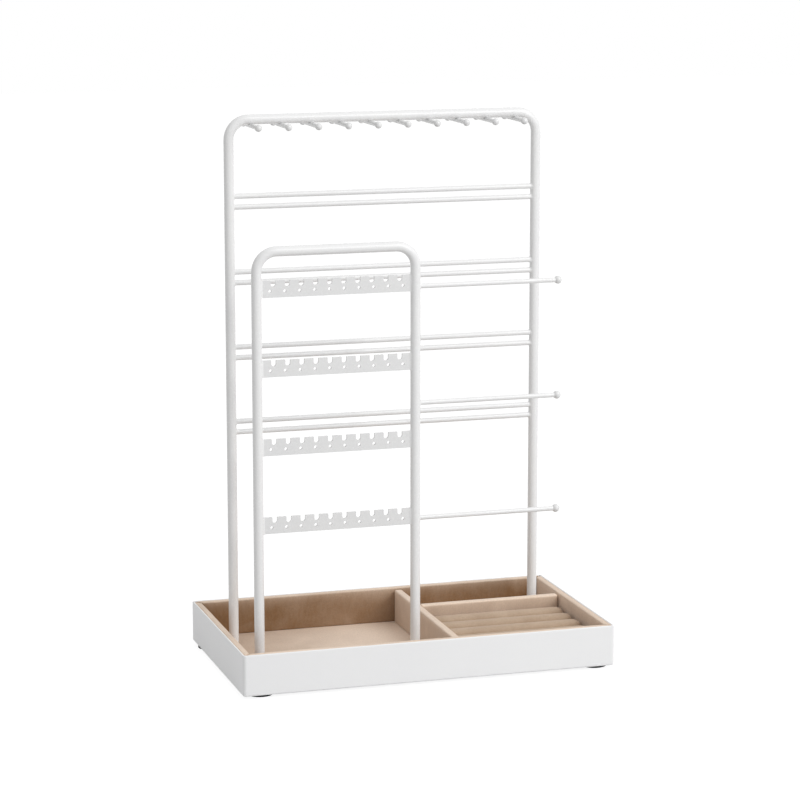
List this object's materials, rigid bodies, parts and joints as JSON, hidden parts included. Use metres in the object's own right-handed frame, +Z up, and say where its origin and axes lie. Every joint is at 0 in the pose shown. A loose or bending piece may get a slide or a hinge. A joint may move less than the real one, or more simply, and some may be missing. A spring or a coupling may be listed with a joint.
{
  "type": "jewelry stand",
  "caption": "White jewelry stand: velvet-lined tray with a ring cushion under a tall pegged necklace frame and a short earring frame with slotted strips and bracelet bars.",
  "frame": {"origin": "on the table, under the middle of the tray, at the underside of the feet", "axes": "+X along the tray to the right as seen from the front, +Y to the back, +Z up"},
  "size_m": [0.27, 0.154, 0.3879],
  "materials": {
    "white_shell": "smooth satin white",
    "white_steel": "white powder coat, satin",
    "board_velvet": "warm beige cotton-backed velvet, short upright pile glued over a stiff board",
    "roll_velvet": "warm beige cotton-backed velvet, short upright pile over foam",
    "black_rubber": "matt moulded",
    "zinc_steel": "zinc plated"
  },
  "bodies": {
    "stand": {"tray_shell": "white_shell", "floor_board": "board_velvet", "liner_front": "board_velvet", "liner_back": "board_velvet", "liner_left": "board_velvet", "liner_right": "board_velvet", "long_divider": "board_velvet", "cross_divider": "board_velvet", "foot_front_left": "black_rubber", "foot_front_right": "black_rubber", "foot_back_left": "black_rubber", "foot_back_right": "black_rubber", "back_hoop": "white_steel", "front_hoop": "white_steel", "rail_1_upper": "white_steel", "rail_1_lower": "white_steel", "earring_strip_1": "white_steel", "rail_2_upper": "white_steel", "rail_2_lower": "white_steel", "earring_strip_2": "white_steel", "rail_3_upper": "white_steel", "rail_3_lower": "white_steel", "earring_strip_3": "white_steel", "rail_4_upper": "white_steel", "rail_4_lower": "white_steel", "earring_strip_4": "white_steel", "peg_1": "white_steel", "peg_2": "white_steel", "peg_3": "white_steel", "peg_4": "white_steel", "peg_5": "white_steel", "peg_6": "white_steel", "peg_7": "white_steel", "peg_8": "white_steel", "peg_9": "white_steel", "peg_10": "white_steel", "bracelet_bar_1": "white_steel", "bar_ball_1": "white_steel", "bracelet_bar_2": "white_steel", "bar_ball_2": "white_steel", "bracelet_bar_3": "white_steel", "bar_ball_3": "white_steel", "leg_screws": "zinc_steel", "leg_washers": "zinc_steel", "leg_plugs": "zinc_steel"},
    "ring_insert": {"ring_base": "roll_velvet", "ring_roll_1": "roll_velvet", "ring_roll_2": "roll_velvet", "ring_roll_3": "roll_velvet", "ring_roll_4": "roll_velvet", "ring_roll_5": "roll_velvet"}
  },
  "joints": [
    {"name": "ring_insert_lift", "type": "slide", "parent": "stand", "child": "ring_insert", "axis": [0, 0, 1], "range_m": [0, 0.03]}
  ]
}
